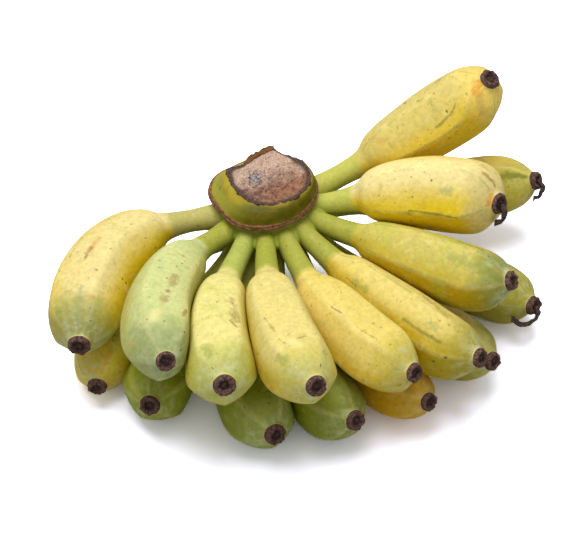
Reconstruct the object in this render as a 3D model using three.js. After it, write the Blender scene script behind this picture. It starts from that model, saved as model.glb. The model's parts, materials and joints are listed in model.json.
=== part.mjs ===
// A hand of seventeen short, plump bananas on one crown, lying on a level surface.
//
// The fingers grow from the front of the crown in two rows, and each has its own stalk, five soft
// ridges and a blossom-end button. Where two fingers press on each other, both are flattened, and a
// thin gap is left between them. Three buttons still carry a dried flower.
//
// Millimetres, +Z up. The hand is laid out round the crown's axis at x = y = 0, and the last lines
// move it so that the origin is at the bottom centre of its bounding box.

import * as THREE from 'three';

// ---- driving dimensions: millimetres and degrees ----------------------------------------------

const CROWN = {
  tilt: 5,    // the side towards +X is the higher one
  sides: 30,
  lip: { height: 3, depth: 2, azimuth: 85, spread: 25 },  // torn skin at the back of the cut
};

// Level rings of the crown from its underside to the cut face: half width, half depth, height, and
// how far the ring's middle lies towards +X and towards -Y
const CROWN_RINGS = [
  [11, 10, 29, 0, 0],
  [21, 19.5, 35, 0, 0],
  [24.5, 23, 42, 0, 0],
  [26, 24.5, 50, 0, 0],
  [28, 26.5, 59, 0, 0],
  [28.5, 26, 66, -1, 0],
  [32, 29.5, 70, -1.5, 1.5],
  [33, 30.5, 71.5, -1.5, 2],  // the rope-like scar
  [32.5, 29.5, 73, -1.5, 2],
  [31, 28, 77, -0.5, 2.5],
  [28.5, 24.5, 80.5, 2, 3.5],
  [24.5, 20, 82.5, 4, 4],     // rim of the cut face
  [21.5, 17, 82.5, 4, 4],
];

// Flatter stretches of the crown's side above its stalks. The last two are where the hand was cut from
// its bunch. Depths are pairs of height and share of the ring's radius.
const CROWN_FLATS = [
  { azimuth: 210, spread: 30, depths: [[66, 0], [71.5, 0.13], [82.5, 0.13]] },
  { azimuth: 165, spread: 15, depths: [[71.5, 0], [77, 0.08], [82.5, 0.02]] },
  { azimuth: 120, spread: 25, depths: [[66, 0], [71.5, 0.13], [77, 0.25], [82.5, 0.1]] },
  { azimuth: 60, spread: 25, depths: [[66, 0], [71.5, 0.06], [77, 0.14], [82.5, 0]] },
];
const CROWN_UNDERSIDE = [0, 0, 27];
const CUT_CENTRE = [4, -4, 81.5];

// Where the stalks leave the crown
const ROWS = {
  upper: { height: 58, across: 30, deep: 28 },
  lower: { height: 42, across: 27, deep: 25 },
};

const STALK_RADIUS = 6;
const ROOT_FLARE = { share: 0.3, length: 11 };   // the stalk widens where it joins the crown
const SWELL_FROM = 0.6;                          // and from this share of its length to the fruit
const BLOSSOM_END = { length: 45, hook: [0, 30] };  // it turns to the left and up by the hook's angles
const RIDGE = { count: 5, height: 0.06 };       // height as a share of the finger's radius
const CLEARANCE = 1;     // left between fingers that press on each other
const BED_IN = 0.6;      // how far the lowest fingers are flattened by what they lie on

// Each finger: the azimuth of its root and of its tip, its slope at the root and at the tip, the
// length of its stalk, its length from the crown to the end of its button, its radius at the belly,
// the turn of its ridges, and how green it is (0 yellow, 1 green). Some ends have hooks of their own.
const FINGERS = {
  upper: [
    { root: -165, tip: -90, slopes: [5, -10], stalk: 35, length: 140, radius: 22, turn: 70, green: 0.1,
      hook: [0, 15] },
    { root: -135, tip: -75, slopes: [10, 0], stalk: 30, length: 135, radius: 20, turn: 40, green: 0.5 },
    { root: -110, tip: -80, slopes: [5, 0], stalk: 40, length: 130, radius: 20, turn: 55, green: 0.3 },
    { root: -90, tip: -65, slopes: [10, 0], stalk: 40, length: 135, radius: 20, turn: 55, green: 0.15,
      hook: [0, 25] },
    { root: -70, tip: -40, slopes: [0, -10], stalk: 40, length: 130, radius: 19, turn: 40, green: 0.05 },
    { root: -50, tip: -35, slopes: [-5, -10], stalk: 35, length: 140, radius: 19, turn: 5, green: 0.1 },
    { root: -30, tip: -25, slopes: [5, -5], stalk: 35, length: 130, radius: 18.5, turn: 10, green: 0.15 },
    { root: -10, tip: 5, slopes: [30, -20], stalk: 30, length: 115, radius: 22, turn: 25, green: 0.05,
      hook: [-45, 40] },
    { root: 20, tip: 30, slopes: [20, 20], stalk: 35, length: 130, radius: 20.5, turn: 15, green: 0.05,
      hook: [-55, 45] },
  ],
  lower: [
    { root: -160, tip: -95, slopes: [-15, -10], stalk: 30, length: 135, radius: 19, turn: 65, green: 0.5,
      hook: [0, 15] },
    { root: -130, tip: -100, slopes: [-20, -5], stalk: 35, length: 125, radius: 20, turn: 30, green: 0.8 },
    { root: -105, tip: -65, slopes: [-20, -5], stalk: 35, length: 130, radius: 20.5, turn: 55, green: 0.9,
      hook: [0, 25] },
    { root: -85, tip: -50, slopes: [-20, -5], stalk: 35, length: 130, radius: 20, turn: 70, green: 0.9 },
    { root: -60, tip: -45, slopes: [-25, 0], stalk: 30, length: 135, radius: 18.5, turn: 60, green: 0.1,
      hook: [0, 25] },
    { root: -30, tip: -45, slopes: [-20, -5], stalk: 35, length: 140, radius: 18.5, turn: 10, green: 0.5 },
    { root: -5, tip: -30, slopes: [-20, -5], stalk: 35, length: 145, radius: 18.5, turn: 15, green: 0.4,
      hook: [-10, 20] },
    { root: 20, tip: 5, slopes: [-10, 5], stalk: 35, length: 145, radius: 18.5, turn: 60, green: 0.4,
      hook: [-25, 25] },
  ],
};

// Outline of the fruit from its shoulder (0) to the end of its button (1), as shares of its length
// and of its radius. The stalk runs straight into it.
const FRUIT_OUTLINE = [
  [0.00, 0.38], [0.04, 0.58], [0.10, 0.72], [0.20, 0.84], [0.35, 0.93], [0.50, 0.98], [0.65, 1.00],
  [0.78, 0.97], [0.87, 0.82], [0.92, 0.60], [0.95, 0.38], [0.965, 0.28], [1.00, 0.26],
];
const BUTTON_DISH = 1.2;  // depth of the hollow in the button's end

// Dried flowers: which finger each hangs from, and its bends, measured from the end of the button
// as ahead (level), to the left (looking along the finger) and down
const DRIED_FLOWERS = [
  { row: 'upper', place: 8, bends: [[0.8, 0, -0.6], [4, -2, 2], [4, -3, 8], [0, -5, 12]] },
  { row: 'lower', place: 7, bends: [[0.8, 0, -0.6], [4, -2, 2], [3, -7, 6], [-2, -11, 8], [-7, -13, 5]] },
  { row: 'lower', place: 8, bends: [[0.8, 0, -0.6], [4, -3, 2], [3, -6, 7], [0, -7, 9]] },
];
const FLOWER_RADIUS = 1.2;

const COLOURS = {
  yellow: 0xe0c85a,
  green: 0x7f9440,
  crown: 0x7c8038,
  dried: 0x2e211a,
};
const ROUGHNESS = { crown: 0.8, peel: 0.5, dried: 0.95 };

// ---- spines -----------------------------------------------------------------------------------

const SPINE_STEPS = 60;

const radians = THREE.MathUtils.degToRad;

// Tips a point of the crown over with it, about the middle of the upper stalks' roots
const tiltAxis = new THREE.Vector3(0, -1, 0);
const pivot = new THREE.Vector3(0, 0, ROWS.upper.height);
function tilted(x, y, z) {
  return new THREE.Vector3(x, y, z).sub(pivot)
    .applyAxisAngle(tiltAxis, radians(CROWN.tilt))
    .add(pivot);
}

function heading(azimuth, slope) {
  return new THREE.Vector3(
    Math.cos(slope) * Math.cos(azimuth),
    Math.cos(slope) * Math.sin(azimuth),
    Math.sin(slope),
  );
}

// The value at a place between the rows of a table of places and values
function valueAt(table, place) {
  const next = table.findIndex(([rowPlace]) => rowPlace >= place);
  if (next === 0) return table[0][1];
  if (next < 0) return table[table.length - 1][1];
  const [placeA, valueA] = table[next - 1];
  const [placeB, valueB] = table[next];
  return THREE.MathUtils.mapLinear(place, placeA, placeB, valueA, valueB);
}

function radiusAt(finger, along) {
  const share = (along - finger.stalk) / (finger.length - finger.stalk);
  if (share > 0) return finger.radius * valueAt(FRUIT_OUTLINE, share);
  const flare = ROOT_FLARE.share * (1 - THREE.MathUtils.smoothstep(along, 0, ROOT_FLARE.length));
  const swell = THREE.MathUtils.smoothstep(along, finger.stalk * SWELL_FROM, finger.stalk);
  const stalk = STALK_RADIUS * (1 + flare);
  return THREE.MathUtils.lerp(stalk, finger.radius * FRUIT_OUTLINE[0][1], swell);
}

// The finger's centre line: it starts on the crown and its heading changes smoothly on the way.
function spineOf(finger, row) {
  const { height, across, deep } = ROWS[row];
  const rootAzimuth = radians(finger.root);
  const tipAzimuth = radians(finger.tip);
  const [rootSlope, tipSlope] = finger.slopes.map(radians);
  const [hookTurn, hookLift] = (finger.hook ?? BLOSSOM_END.hook).map(radians);
  const point = tilted(across * Math.cos(rootAzimuth), deep * Math.sin(rootAzimuth), height);
  const step = finger.length / SPINE_STEPS;
  const stations = [];
  for (let i = 0; i <= SPINE_STEPS; i += 1) {
    const along = i * step;
    const turn = THREE.MathUtils.smoothstep(along, 0, finger.length);
    const end = THREE.MathUtils.smoothstep(along, finger.length - BLOSSOM_END.length, finger.length);
    const azimuth = THREE.MathUtils.lerp(rootAzimuth, tipAzimuth, turn) + end * hookTurn;
    const slope = THREE.MathUtils.lerp(rootSlope, tipSlope, turn) + end * hookLift;
    const forward = heading(azimuth, slope);
    if (i > 0) point.addScaledVector(forward, step);
    stations.push({
      along,
      point: point.clone(),
      forward,
      left: heading(azimuth + Math.PI / 2, 0),
      up: heading(azimuth, slope + Math.PI / 2),
      radius: radiusAt(finger, along),
    });
  }
  return stations;
}

// The station at any distance along a spine, between its two nearest ones
function stationAt(spine, along) {
  const last = spine.length - 1;
  const place = (along / spine[last].along) * last;
  const before = spine[Math.min(Math.floor(place), last - 1)];
  const after = spine[Math.min(Math.floor(place), last - 1) + 1];
  const share = place - Math.min(Math.floor(place), last - 1);
  const mix = (name) => before[name].clone().lerp(after[name], share);
  return { point: mix('point'), forward: mix('forward'), left: mix('left'), up: mix('up') };
}

// How deep a point lies in the round body about a spine: negative outside it
const segment = new THREE.Line3();
const nearest = new THREE.Vector3();
function depthIn(spine, point) {
  let depth = -Infinity;
  for (let i = 1; i < spine.length; i += 1) {
    segment.set(spine[i - 1].point, spine[i].point);
    const share = segment.closestPointToPointParameter(point, true);
    const distance = segment.at(share, nearest).distanceTo(point);
    const radius = THREE.MathUtils.lerp(spine[i - 1].radius, spine[i].radius, share);
    depth = Math.max(depth, radius - distance);
  }
  return depth;
}

// ---- closed skins -----------------------------------------------------------------------------

// A closed skin through rings of equally many points, anticlockwise seen from the end they lead to,
// with a middle point for the first ring and one for the last
function loft(rings, firstMiddle, lastMiddle) {
  const sides = rings[0].length;
  const lastRing = rings.length - 1;
  const corner = (ring, side) => ring * sides + (side % sides);
  const firstIndex = rings.length * sides;
  const lastIndex = firstIndex + 1;
  const index = [];
  for (let side = 0; side < sides; side += 1) {
    index.push(firstIndex, corner(0, side + 1), corner(0, side));
    index.push(lastIndex, corner(lastRing, side), corner(lastRing, side + 1));
    for (let ring = 0; ring < lastRing; ring += 1) {
      const [a, b] = [corner(ring, side), corner(ring, side + 1)];
      const [c, d] = [corner(ring + 1, side), corner(ring + 1, side + 1)];
      index.push(a, b, d, a, d, c);
    }
  }
  const geometry = new THREE.BufferGeometry().setFromPoints([...rings.flat(), firstMiddle, lastMiddle]);
  geometry.setIndex(index);
  geometry.computeVertexNormals();
  return geometry;
}

// ---- fingers ----------------------------------------------------------------------------------

const SIDES_PER_RIDGE = 3;
const RING_SIDES = SIDES_PER_RIDGE * RIDGE.count;

const STALK_RINGS = [0, 0.15, 0.4, 0.75];  // shares of the stalk's length

// Distances along the finger at which it has a ring of vertices
function ringPlaces(finger) {
  const fruit = finger.length - finger.stalk;
  const stalkPlaces = STALK_RINGS.map((share) => share * finger.stalk);
  return [...stalkPlaces, ...FRUIT_OUTLINE.map(([share]) => finger.stalk + share * fruit)];
}

const HALVINGS = 12;

// Pulls a surface point towards the spine until it is no deeper in a neighbour than in its own
// finger, so that two fingers that meet share one flattened face.
function pressed(centre, outward, radius, reach, neighbours) {
  const point = new THREE.Vector3();
  const isFree = (distance) => {
    point.copy(centre).addScaledVector(outward, distance);
    return neighbours.every((spine) => radius - distance - depthIn(spine, point) >= CLEARANCE);
  };
  let outside = reach;
  if (isFree(reach)) return point.clone();
  let inside = 0;
  for (let i = 0; i < HALVINGS; i += 1) {
    const middle = (inside + outside) / 2;
    if (isFree(middle)) inside = middle;
    else outside = middle;
  }
  return point.copy(centre).addScaledVector(outward, inside).clone();
}

function fingerGeometry(finger, spine, neighbours, floor) {
  const root = spine[0];
  const crownWall = heading(radians(finger.root), 0);
  const rings = ringPlaces(finger).map((along) => {
    const { point: centre, left, up } = stationAt(spine, along);
    const radius = radiusAt(finger, along);
    const fullness = THREE.MathUtils.smoothstep(radius, STALK_RADIUS, finger.radius);
    return Array.from({ length: RING_SIDES }, (_, side) => {
      const angle = radians(finger.turn) + (side / RING_SIDES) * 2 * Math.PI;
      const outward = left.clone().multiplyScalar(Math.cos(angle)).addScaledVector(up, Math.sin(angle));
      const ridge = side % SIDES_PER_RIDGE === 0 ? RIDGE.height : -RIDGE.height / 2;
      const reach = radius * (1 + ridge * fullness);
      const surface = pressed(centre, outward, radius, reach, neighbours);
      surface.z = Math.max(surface.z, floor);
      if (along > 0) return surface;
      const offWall = surface.clone().sub(root.point).dot(crownWall);
      return surface.addScaledVector(root.forward, -offWall / root.forward.dot(crownWall));
    });
  });
  const rootCentre = stationAt(spine, 0).point;
  const buttonCentre = stationAt(spine, finger.length - BUTTON_DISH).point;
  return loft(rings, rootCentre, buttonCentre);
}

// ---- crown ------------------------------------------------------------------------------------

// A smooth bump round the crown's side, 1 at its azimuth
function bumpAt(azimuth, bump) {
  return Math.exp(-(((azimuth - bump.azimuth) / bump.spread) ** 2));
}

// A cushion with the stalks' roots round its side, the scar above them and the cut face on top
function crownGeometry() {
  const { sides, lip } = CROWN;
  const rimHeight = CROWN_RINGS[CROWN_RINGS.length - 1][2];
  const rings = CROWN_RINGS.map(([halfWidth, halfDepth, height, right, front]) => {
    const rim = THREE.MathUtils.smoothstep(height, rimHeight - lip.depth, rimHeight);
    return Array.from({ length: sides }, (_, side) => {
      const azimuth = (side / sides) * 360;
      const reach = CROWN_FLATS.reduce(
        (share, flat) => share - valueAt(flat.depths, height) * bumpAt(azimuth, flat),
        1,
      );
      return tilted(
        right + reach * halfWidth * Math.cos(radians(azimuth)),
        -front + reach * halfDepth * Math.sin(radians(azimuth)),
        height + lip.height * rim * bumpAt(azimuth, lip),
      );
    });
  });
  return loft(rings, tilted(...CROWN_UNDERSIDE), tilted(...CUT_CENTRE));
}

// ---- dried flowers ----------------------------------------------------------------------------

function driedFlowerGeometry(spine, bends) {
  const { point, forward, left } = spine[spine.length - 1];
  const level = new THREE.Vector3(forward.x, forward.y, 0).normalize();
  const path = bends.map(([ahead, sideways, drop]) => point.clone()
    .addScaledVector(level, ahead)
    .addScaledVector(left, sideways)
    .add(new THREE.Vector3(0, 0, -drop)));
  const section = new THREE.Shape().absarc(0, 0, FLOWER_RADIUS, 0, 2 * Math.PI, false);
  return new THREE.ExtrudeGeometry(section, {
    extrudePath: new THREE.CatmullRomCurve3(path),
    steps: 3 * (bends.length - 1),
    curveSegments: 6,
    bevelEnabled: false,
  });
}

// ---- the hand ---------------------------------------------------------------------------------

const group = new THREE.Group();

function addPiece(name, geometry, colour, roughness) {
  const material = new THREE.MeshStandardMaterial({ color: colour, roughness, metalness: 0 });
  const mesh = new THREE.Mesh(geometry, material);
  mesh.name = name;
  group.add(mesh);
}

const fingers = Object.entries(FINGERS).flatMap(([row, list]) => list.map((finger, i) => ({
  ...finger, row, place: i + 1, name: `finger_${row}_${i + 1}`, spine: spineOf(finger, row),
})));

const lowest = Math.min(...fingers.flatMap(({ spine }) => spine.map(
  ({ point, up, radius }) => point.z - radius * up.z,
)));
const floor = lowest + BED_IN;

addPiece('crown', crownGeometry(), COLOURS.crown, ROUGHNESS.crown);

for (const finger of fingers) {
  const neighbours = fingers.filter((other) => other !== finger).map((other) => other.spine);
  const geometry = fingerGeometry(finger, finger.spine, neighbours, floor);
  const colour = new THREE.Color(COLOURS.yellow).lerp(new THREE.Color(COLOURS.green), finger.green);
  addPiece(finger.name, geometry, colour, ROUGHNESS.peel);
}

for (const { row, place, bends } of DRIED_FLOWERS) {
  const { spine } = fingers.find((finger) => finger.row === row && finger.place === place);
  const geometry = driedFlowerGeometry(spine, bends);
  addPiece(`dried_flower_${row}_${place}`, geometry, COLOURS.dried, ROUGHNESS.dried);
}

const box = new THREE.Box3().setFromObject(group, true);
const middle = box.getCenter(new THREE.Vector3());
group.position.set(-middle.x, -middle.y, -box.min.z);

export default group;
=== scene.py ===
# The looks of a hand of seventeen short bananas on one crown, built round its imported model.
#
# Each finger starts as a copy of its node: the copy's rings are squared up, its root is tucked into
# the crown, its button is shaped, and the whole is smoothed. The crown's flesh, its rope-like scar,
# its cut face and the dried flowers are pieces of their own. Lengths are metres, and MM is one
# millimetre.

import json
import math
from contextlib import contextmanager

import bmesh
import bpy
import numpy as np
from mathutils import Matrix, Vector, noise


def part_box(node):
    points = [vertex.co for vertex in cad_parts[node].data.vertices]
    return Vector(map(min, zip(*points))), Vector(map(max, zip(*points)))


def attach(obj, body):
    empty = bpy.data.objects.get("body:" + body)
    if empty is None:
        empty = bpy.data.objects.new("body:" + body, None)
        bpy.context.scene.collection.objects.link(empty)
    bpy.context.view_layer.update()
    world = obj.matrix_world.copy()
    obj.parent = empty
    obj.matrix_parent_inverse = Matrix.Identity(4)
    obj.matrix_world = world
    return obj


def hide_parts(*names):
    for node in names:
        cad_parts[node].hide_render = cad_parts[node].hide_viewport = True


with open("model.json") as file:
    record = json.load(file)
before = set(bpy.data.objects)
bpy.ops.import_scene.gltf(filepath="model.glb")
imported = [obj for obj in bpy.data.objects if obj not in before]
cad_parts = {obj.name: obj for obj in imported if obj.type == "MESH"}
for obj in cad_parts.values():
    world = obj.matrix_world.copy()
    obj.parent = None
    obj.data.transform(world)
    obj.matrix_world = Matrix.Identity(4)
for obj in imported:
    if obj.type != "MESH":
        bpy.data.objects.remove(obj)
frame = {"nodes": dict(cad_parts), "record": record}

MM = 0.001
UP = Vector((0, 0, 1))
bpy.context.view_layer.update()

WELD = 0.001 * MM         # corners closer together than this are one
MANY_SIDES = 12           # each end of a skin has more sides than this, and no other place on it has

noise.seed_set(1)         # without a seed, the pull of the buttons' crumbs changes from run to run

# The view: where it is aimed, how far it looks down in degrees, how far off it stands in metres, and
# its lens and sensor in millimetres
VIEW = {"aim": Vector((-7.5, -8, 62.4)) * MM, "pitch": 48, "distance": 1.2, "lens": 129.2, "sensor": 36}

# The light: how strong the pale surround is, and the lamp's place, width and power
SURROUND = 0.42
LAMP = {"place": Vector((-0.15, 0.15, 1.3)), "width": 1.1, "power": 16}

# Rings of a finger's node, counted from the middle point of its root
ROOT_RING = 1
STALK_END_RING = 4
SHOULDER_RING = 5
CREASE_RING = 7
SKIN_END_RING = 16
RIDGE_STEP = 3            # every third corner of a ring is a ridge

RIDGE_CREASE = 0.55       # how sharp the ridges stay when a finger is smoothed
ROOT_TUCK = 8 * MM        # how far a stalk's root goes into the crown's flesh
SHRINK = 0.55 * MM        # what smoothing takes off a finger's skin
SKIN_LUMPS = 1.6 * MM     # how high the lumps of its skin are
STALK_SHARE = 0.25        # the skin map's share along the finger that is its stalk
DEGREE_MM = 0.35          # one degree round a finger, and
SKIN_LENGTH_MM = 133      # the whole length of the skin map, in millimetres


# ---- working on meshes ----


def only(piece):
    """Selects one object and makes it the active one."""
    bpy.ops.object.select_all(action="DESELECT")
    piece.select_set(True)
    bpy.context.view_layer.objects.active = piece


@contextmanager
def editing(piece, mode="VERT"):
    """Edit mode on one object, with nothing selected."""
    only(piece)
    bpy.ops.object.mode_set(mode="EDIT")
    bpy.ops.mesh.select_mode(type=mode)
    bpy.ops.mesh.select_all(action="DESELECT")
    yield
    bpy.ops.object.mode_set(mode="OBJECT")


def choose(piece, kind, wanted):
    """Selects just the verts, edges or faces of the mesh in edit mode that are wanted."""
    bpy.ops.mesh.select_all(action="DESELECT")
    mesh = bmesh.from_edit_mesh(piece.data)
    for element in getattr(mesh, kind):
        if wanted(element):
            element.select = True
    mesh.select_flush_mode()
    bmesh.update_edit_mesh(piece.data)


def mark_chosen(piece, name, value):
    """Stores a value under a name at each selected vertex of the mesh in edit mode."""
    mesh = bmesh.from_edit_mesh(piece.data)
    layer = mesh.verts.layers.float[name]
    for vert in mesh.verts:
        if vert.select:
            vert[layer] = value
    bmesh.update_edit_mesh(piece.data)


def finish_with(piece, kind, **settings):
    """Adds a modifier and applies it."""
    modifier = piece.modifiers.new(kind.title(), kind)
    for name, value in settings.items():
        setattr(modifier, name, value)
    only(piece)
    bpy.ops.object.modifier_apply(modifier=modifier.name)


def shade_smooth(piece):
    only(piece)
    bpy.ops.object.shade_smooth()


def clouds(name, size, depth):
    """A cloudy texture for roughen. Size is that of its lumps."""
    texture = bpy.data.textures.new(name, "CLOUDS")
    texture.noise_scale = size
    texture.noise_depth = depth
    return texture


def roughen(piece, texture, strength):
    """Moves the surface in and out by up to half the strength."""
    finish_with(piece, "DISPLACE", texture=texture, strength=strength, mid_level=0.5)


def copy_of_node(node, name):
    """A new object with a copy of a node's mesh."""
    piece = bpy.data.objects.new(name, frame["nodes"][node].data.copy())
    bpy.context.scene.collection.objects.link(piece)
    piece.data.materials.clear()
    return piece


def is_pole(vert):
    """Whether a vertex is the middle point of one of a skin's ends."""
    return len(vert.link_edges) > MANY_SIDES


def rings_in(mesh, first_pole):
    """The rings of a skin, from one of its two poles to the other. first_pole is a sort key."""
    poles = [vert for vert in mesh.verts if is_pole(vert)]
    rings = [[min(poles, key=first_pole)]]
    seen = set(rings[0])
    while rings[-1]:
        ring = {edge.other_vert(vert) for vert in rings[-1] for edge in vert.link_edges} - seen
        seen |= ring
        rings.append(sorted(ring, key=lambda vert: vert.index))
    return rings[:-1]


def square_up(piece, first_pole):
    """Joins a skin's loose triangles, and joins them in pairs into faces with four sides."""
    with editing(piece, "EDGE"):
        bpy.ops.mesh.select_all(action="SELECT")
        bpy.ops.mesh.remove_doubles(threshold=WELD)
        bpy.ops.mesh.select_all(action="DESELECT")
        mesh = bmesh.from_edit_mesh(piece.data)
        rings = rings_in(mesh, first_pole)
        place = {vert: i for i, ring in enumerate(rings) for vert in ring}
        for face in mesh.faces:
            furthest = max(place[vert] for vert in face.verts)
            ahead = [loop for loop in face.loops if place[loop.vert] == furthest]
            if len(ahead) == 1 and len(rings[furthest]) > 1:
                ahead[0].edge.select = True
        bmesh.update_edit_mesh(piece.data)
        bpy.ops.mesh.dissolve_edges(use_verts=False)


def middle(verts):
    return sum((vert.co for vert in verts), Vector()) / len(verts)


# ---- fingers ----

FINGERS = [name for name in sorted(frame["nodes"]) if name.startswith("finger_")]

crown_low, crown_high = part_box("crown")
CROWN_AXIS = (crown_low + crown_high) / 2


def from_crown(vert):
    """How far a point is from the crown's axis."""
    return (vert.co - CROWN_AXIS).xy.length


def shape_finger(name):
    """A finger's cage with its root in the crown and its button shaped, and its middle line."""
    piece = copy_of_node(name, name + "_peel")
    square_up(piece, from_crown)
    with editing(piece):
        mesh = bmesh.from_edit_mesh(piece.data)
        ridge_layer = mesh.verts.layers.float.new("ridge")
        stalk_layer = mesh.verts.layers.float.new("stalk")
        button_layer = mesh.verts.layers.float.new("button")
        along_layer = mesh.verts.layers.float.new("along")
        mesh.verts.layers.float.new("pit")
        rings = rings_in(mesh, from_crown)
        line = [middle(ring) for ring in rings]
        shares = shares_along(line[ROOT_RING:-1])
        ridges = find_ridges(rings)
        for i, ring in enumerate(rings):
            for vert in ring:
                vert[along_layer] = shares[min(max(0, i - ROOT_RING), len(shares) - 1)]
                vert[ridge_layer] = float(vert in ridges)
                vert[stalk_layer] = float(i <= STALK_END_RING)
                vert[button_layer] = float(i > SKIN_END_RING)
        fruit = {vert for ring in rings[CREASE_RING:SKIN_END_RING] for vert in ring} & ridges
        choose(piece, "edges", lambda edge: edge.verts[0] in fruit and edge.verts[1] in fruit)
        bpy.ops.transform.edge_crease(value=RIDGE_CREASE)
        root = rings[0] + rings[ROOT_RING]
        choose(piece, "verts", lambda vert: vert in root)
        along = (line[ROOT_RING + 1] - line[ROOT_RING]).normalized()
        bpy.ops.transform.translate(value=-along * ROOT_TUCK)
        shape_button(piece, line)
    return piece, line[ROOT_RING:-1]


def shares_along(line):
    """How far along the skin map each point of a finger's middle line is: the stalk, then the fruit."""
    steps = [(after - before).length for before, after in zip(line, line[1:])]
    reach = np.concatenate([[0], np.cumsum(steps)])
    stalk = reach[SHOULDER_RING - ROOT_RING]
    return np.interp(reach, [0, stalk, reach[-1]], [0, STALK_SHARE, 1])


def find_ridges(rings):
    """The vertices along a finger's ridges: of the belly's three sets of corners, the widest, and on."""
    belly = len(rings) * 2 // 3
    centre = middle(rings[belly])
    ordered = around_ring(rings[belly])
    sets = [ordered[i::RIDGE_STEP] for i in range(RIDGE_STEP)]
    found = set(max(sets, key=lambda some: sum((vert.co - centre).length for vert in some)))
    for ring in rings[belly + 1 : -1] + rings[belly - 1 : 0 : -1]:
        found |= {vert for vert in ring if any(edge.other_vert(vert) in found for edge in vert.link_edges
                                               if edge.other_vert(vert) not in ring)}
    return found


def around_ring(ring):
    """A ring's vertices in order."""
    members = set(ring)
    ordered = [ring[0]]
    while len(ordered) < len(ring):
        last = ordered[-1]
        nearby = [edge.other_vert(last) for edge in last.link_edges]
        ordered.append(next(vert for vert in nearby if vert in members and vert not in ordered))
    return ordered


# The button's end: how far in each ring lies from the last one, how far out it stands (both in
# millimetres), and how much it belongs to the pit
BUTTON_RINGS = [(0.4, 0.5, 0), (0.9, -0.9, 0.3), (1.0, -1.0, 0.9), (0.9, -0.1, 1), (0.8, 0.3, 0.6)]

# The button's crust: the size and height of its lumps, and how it is pulled about, in millimetres
CRUMBS = [(3.5, 0.7), (1.6, 0.6), (0.7, 0.3)]
CRUMB_PULL = {"size": 2.4, "by": 0.6}
CRUST_FROM = 0.3          # how much of a button's own skin a point has, at least, to be crusted


def shape_button(piece, line):
    """Opens the button's flat end into a rim, a hollow and a pit."""
    last = len(line) - 1
    choose(piece, "verts", lambda vert: is_pole(vert) and (vert.co - line[last]).length < MM)
    bpy.ops.mesh.dissolve_verts()
    bpy.ops.mesh.select_mode(type="FACE")
    choose(piece, "faces", lambda face: len(face.verts) > MANY_SIDES)
    for inward, outward, pit in BUTTON_RINGS:
        bpy.ops.mesh.inset(thickness=inward * MM, depth=outward * MM)
        mark_chosen(piece, "pit", pit)
    bpy.ops.mesh.poke()
    bpy.ops.mesh.select_mode(type="VERT")


def smooth_finger(piece, line):
    """Smooths a finger, gives back what that takes off, and adds its lumps and the button's crust."""
    finish_with(piece, "SUBSURF", levels=2, render_levels=2)
    finish_with(piece, "DISPLACE", strength=SHRINK, mid_level=0)
    roughen(piece, LUMPS, SKIN_LUMPS)
    points = read_vectors(piece, "co")
    crust = read_attribute(piece, "button")
    normals = read_vectors(piece, "normal")
    for i in np.flatnonzero(crust > CRUST_FROM):
        at = Vector(points[i]) / MM
        rough = sum(noise.noise(at / size) * height for size, height in CRUMBS)
        points[i] += normals[i] * rough * crust[i] * MM
        pull = np.array(noise.noise_vector(at / CRUMB_PULL["size"]))
        points[i] += pull * crust[i] * CRUMB_PULL["by"] * MM
    points[:, 2] = np.maximum(points[:, 2], 0)
    write_points(piece, points)
    wrap_skin(piece, points, line)
    shade_smooth(piece)


def read_vectors(piece, name):
    """A vector of each vertex: its place, "co", or its "normal"."""
    numbers = np.empty(len(piece.data.vertices) * 3, np.float32)
    piece.data.vertices.foreach_get(name, numbers)
    return numbers.reshape(-1, 3)


def write_points(piece, points):
    piece.data.vertices.foreach_set("co", points.astype(np.float32).ravel())
    piece.data.update()



def read_attribute(piece, name):
    numbers = np.empty(len(piece.data.vertices), np.float32)
    piece.data.attributes[name].data.foreach_get("value", numbers)
    return numbers


def wrap_skin(piece, points, line):
    """The skin map: across, once round from the underside; along, the stalk and then the fruit."""
    spine = np.array(line)
    shares = shares_along(line)
    ahead = np.gradient(spine, shares, axis=0)
    ahead /= np.linalg.norm(ahead, axis=1)[:, None]
    left = np.cross(np.array(UP), ahead)
    left /= np.linalg.norm(left, axis=1)[:, None]
    along = read_attribute(piece, "along")

    def on_line(values):
        return np.stack([np.interp(along, shares, values[:, axis]) for axis in range(3)], axis=1)

    outward = points - on_line(spine)
    side, forward = on_line(left), on_line(ahead)
    top = np.cross(forward, side)
    across = np.arctan2((outward * side).sum(1), (outward * top).sum(1)) / (2 * math.pi) + 0.5
    mesh = piece.data
    corner = np.empty(len(mesh.loops), np.int32)
    mesh.loops.foreach_get("vertex_index", corner)
    u, v = across[corner], along[corner]
    for face in mesh.polygons:      # a face across the seam keeps its corners on one side of it
        span = slice(face.loop_start, face.loop_start + face.loop_total)
        if np.ptp(u[span]) > 0.5:
            u[span] += u[span] < 0.5
    layer = mesh.uv_layers.get("skin") or mesh.uv_layers.new(name="skin")
    layer.uv.foreach_set("vector", np.stack([u, v], axis=1).astype(np.float32).ravel())


# ---- crown ----

# Rings of the crown's node, counted from the middle point of its underside
SCAR_RING = 8
RIM_RING = 12


def lowest(vert):
    return vert.co.z


def copy_of_crown(name):
    piece = copy_of_node("crown", name)
    square_up(piece, lowest)
    return piece


def crown_rings():
    """The corners of each ring of the crown's node, in order round it."""
    piece = copy_of_crown("crown_measure")
    with editing(piece):
        mesh = bmesh.from_edit_mesh(piece.data)
        rings = [[vert.co.copy() for vert in ring] for ring in rings_in(mesh, lowest)]
    bpy.data.objects.remove(piece)
    centre = CROWN_AXIS
    return [sorted(ring, key=lambda co: math.atan2(co.y - centre.y, co.x - centre.x)) for ring in rings]


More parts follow.
